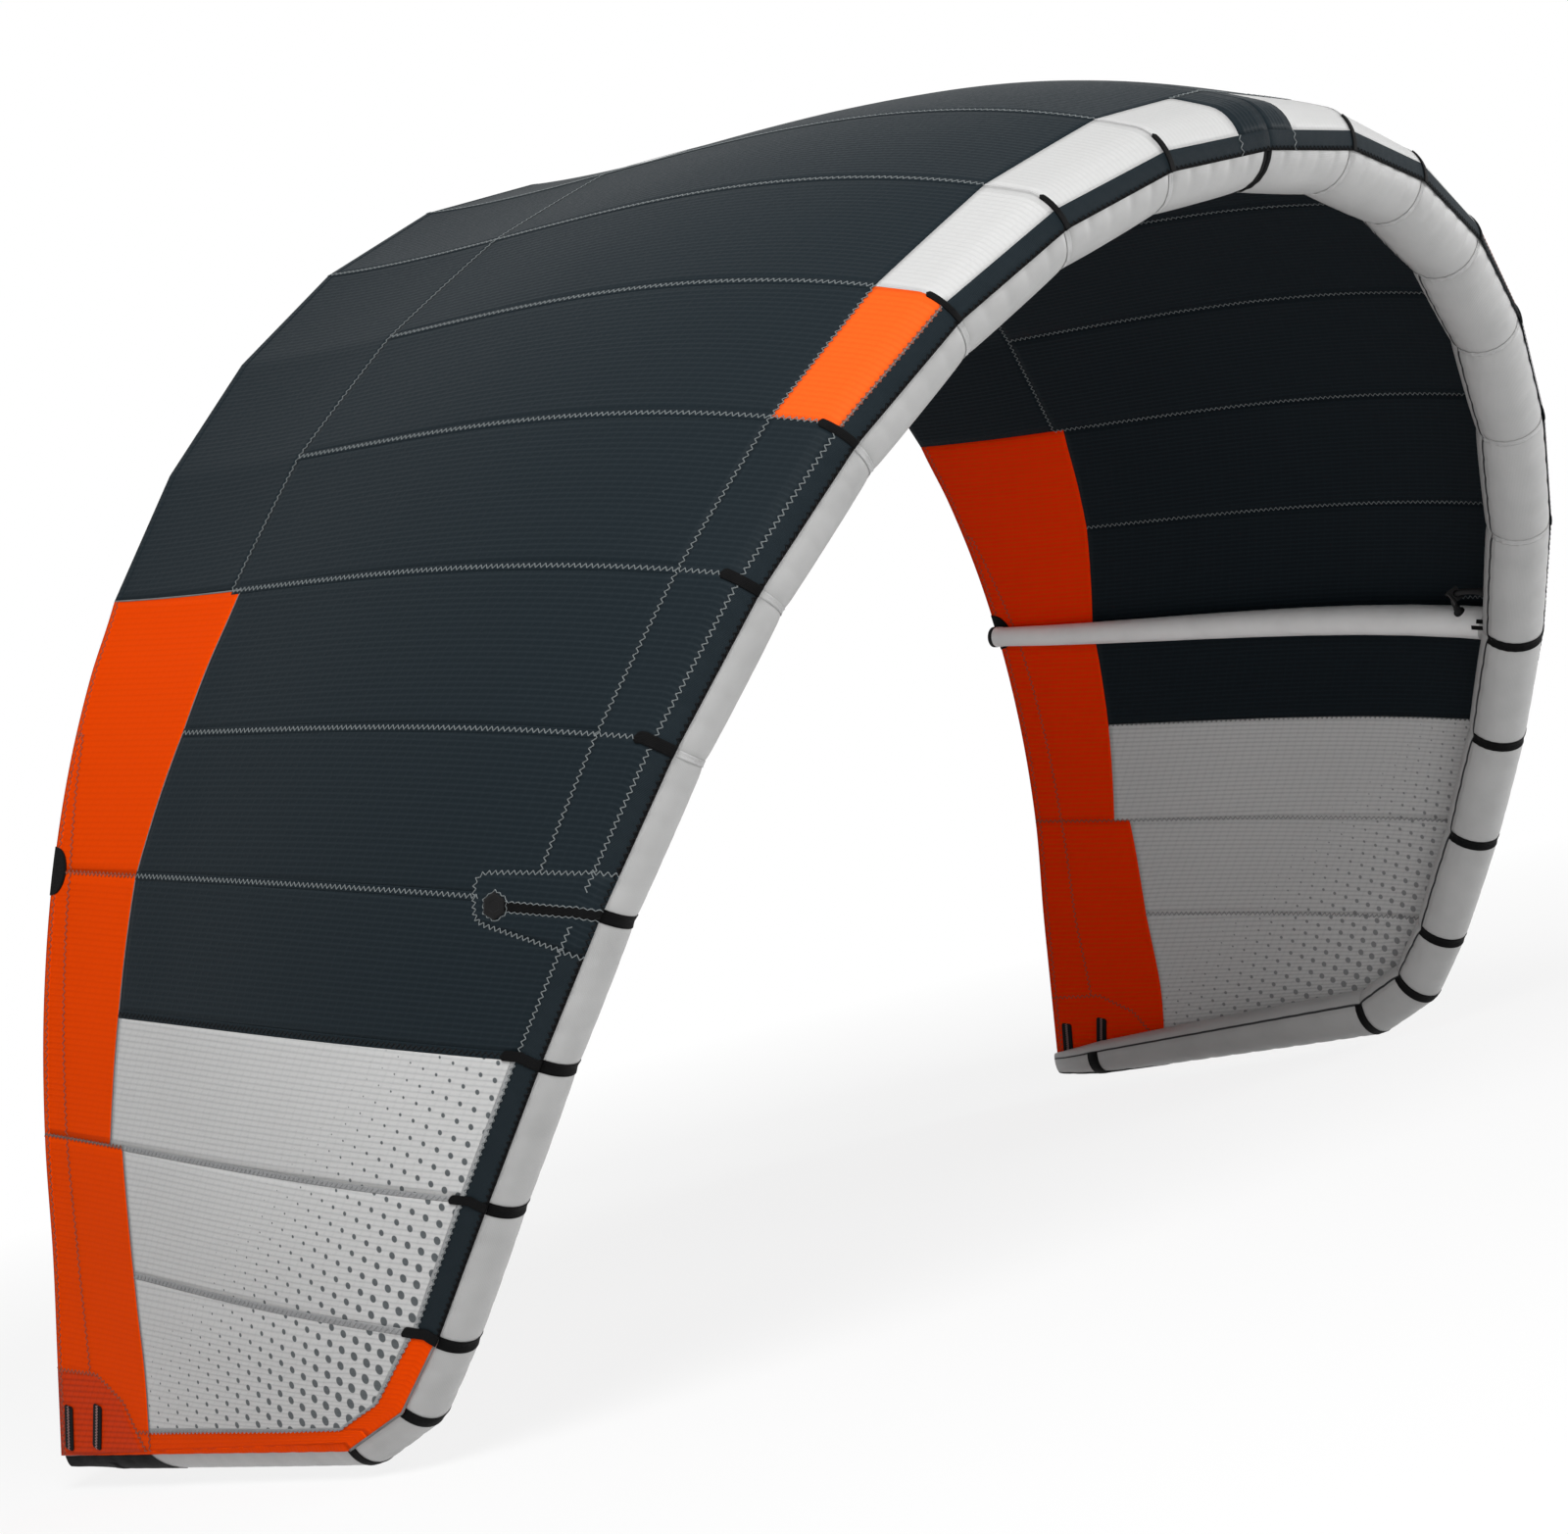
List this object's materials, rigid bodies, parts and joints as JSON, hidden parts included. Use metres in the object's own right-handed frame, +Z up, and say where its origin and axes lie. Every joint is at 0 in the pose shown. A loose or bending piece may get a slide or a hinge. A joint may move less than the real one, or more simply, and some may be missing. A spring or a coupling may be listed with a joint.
{
  "type": "kitesurf kite",
  "caption": "Inflatable kitesurf kite: an arched, segmented leading-edge tube with struts, a sewn canopy of dark, pale and orange cloth, and line straps at the wing tips.",
  "frame": {"origin": "midway between the wing tips, level with the undersides of their tubes", "axes": "+X along the span, +Y from the leading edge towards the trailing edge, +Z up in flight"},
  "size_m": [2.8432, 2.0087, 1.9657],
  "materials": {
    "dark_cloth": "matt ripstop cloth",
    "pale_cloth": "matt ripstop cloth",
    "orange_cloth": "satin reinforced cloth",
    "tube_cloth": "smooth coated sailcloth",
    "bladder_film": "soft welded film",
    "black_plastic": "moulded, lightly textured",
    "hose_rubber": "smooth flexible hose",
    "webbing": "woven and stitched"
  },
  "bodies": {
    "kite": {"le_casing_left_1": "tube_cloth", "le_casing_left_2": "tube_cloth", "le_casing_left_3": "tube_cloth", "le_casing_left_4": "tube_cloth", "le_casing_left_5": "tube_cloth", "le_casing_left_6": "tube_cloth", "le_casing_left_7": "tube_cloth", "le_strip_left": "dark_cloth", "canopy_panel_left_1": "dark_cloth", "canopy_panel_left_2": "dark_cloth", "canopy_panel_left_3": "dark_cloth", "canopy_panel_left_4": "dark_cloth", "canopy_panel_left_5": "pale_cloth", "canopy_panel_left_6": "pale_cloth", "te_panel_left_centre": "dark_cloth", "te_panel_left_middle": "orange_cloth", "te_panel_left_tip": "orange_cloth", "line_strap_left_rear": "webbing", "line_strap_left_front": "webbing", "le_casing_right_1": "tube_cloth", "le_casing_right_2": "tube_cloth", "le_casing_right_3": "tube_cloth", "le_casing_right_4": "tube_cloth", "le_casing_right_5": "tube_cloth", "le_casing_right_6": "tube_cloth", "le_casing_right_7": "tube_cloth", "le_strip_right": "dark_cloth", "canopy_panel_right_1": "dark_cloth", "canopy_panel_right_2": "dark_cloth", "canopy_panel_right_3": "dark_cloth", "canopy_panel_right_4": "dark_cloth", "canopy_panel_right_5": "pale_cloth", "canopy_panel_right_6": "pale_cloth", "te_panel_right_centre": "dark_cloth", "te_panel_right_middle": "orange_cloth", "te_panel_right_tip": "orange_cloth", "line_strap_right_rear": "webbing", "line_strap_right_front": "webbing", "le_bladder": "bladder_film", "strut_casing_centre": "tube_cloth", "strut_bladder_centre": "bladder_film", "strut_end_cap_centre": "black_plastic", "air_hose_centre": "hose_rubber", "hose_clip_centre": "black_plastic", "strut_casing_left": "tube_cloth", "strut_bladder_left": "bladder_film", "strut_end_cap_left": "black_plastic", "air_hose_left": "hose_rubber", "hose_clip_left": "black_plastic", "strut_casing_right": "tube_cloth", "strut_bladder_right": "bladder_film", "strut_end_cap_right": "black_plastic", "air_hose_right": "hose_rubber", "hose_clip_right": "black_plastic", "valve_base": "black_plastic", "valve_flap": "hose_rubber"},
    "valve_cap": {"valve_cap": "black_plastic"},
    "clip_jaw_centre": {"hose_clip_jaw_centre": "black_plastic"},
    "clip_jaw_left": {"hose_clip_jaw_left": "black_plastic"},
    "clip_jaw_right": {"hose_clip_jaw_right": "black_plastic"}
  },
  "joints": [
    {"name": "valve_cap_hinge", "type": "hinge", "parent": "kite", "child": "valve_cap", "pos_m": [-0.33681, -1.43065, 1.51302], "axis": [-0.9536, 0.1412, -0.2658], "range_deg": [0, 150]},
    {"name": "clip_jaw_centre_hinge", "type": "hinge", "parent": "kite", "child": "clip_jaw_centre", "pos_m": [-0.07518, -1.40535, 1.6248], "axis": [0.2841, 0.1497, 0.947], "range_deg": [0, 100]},
    {"name": "clip_jaw_left_hinge", "type": "hinge", "parent": "kite", "child": "clip_jaw_left", "pos_m": [-1.18696, -0.95788, 0.81573], "axis": [-0.6173, 0.7728, -0.1474], "range_deg": [0, 100]},
    {"name": "clip_jaw_right_hinge", "type": "hinge", "parent": "kite", "child": "clip_jaw_right", "pos_m": [1.18311, -0.95143, 0.8334], "axis": [0.6173, 0.7728, -0.1474], "range_deg": [0, 100]}
  ]
}
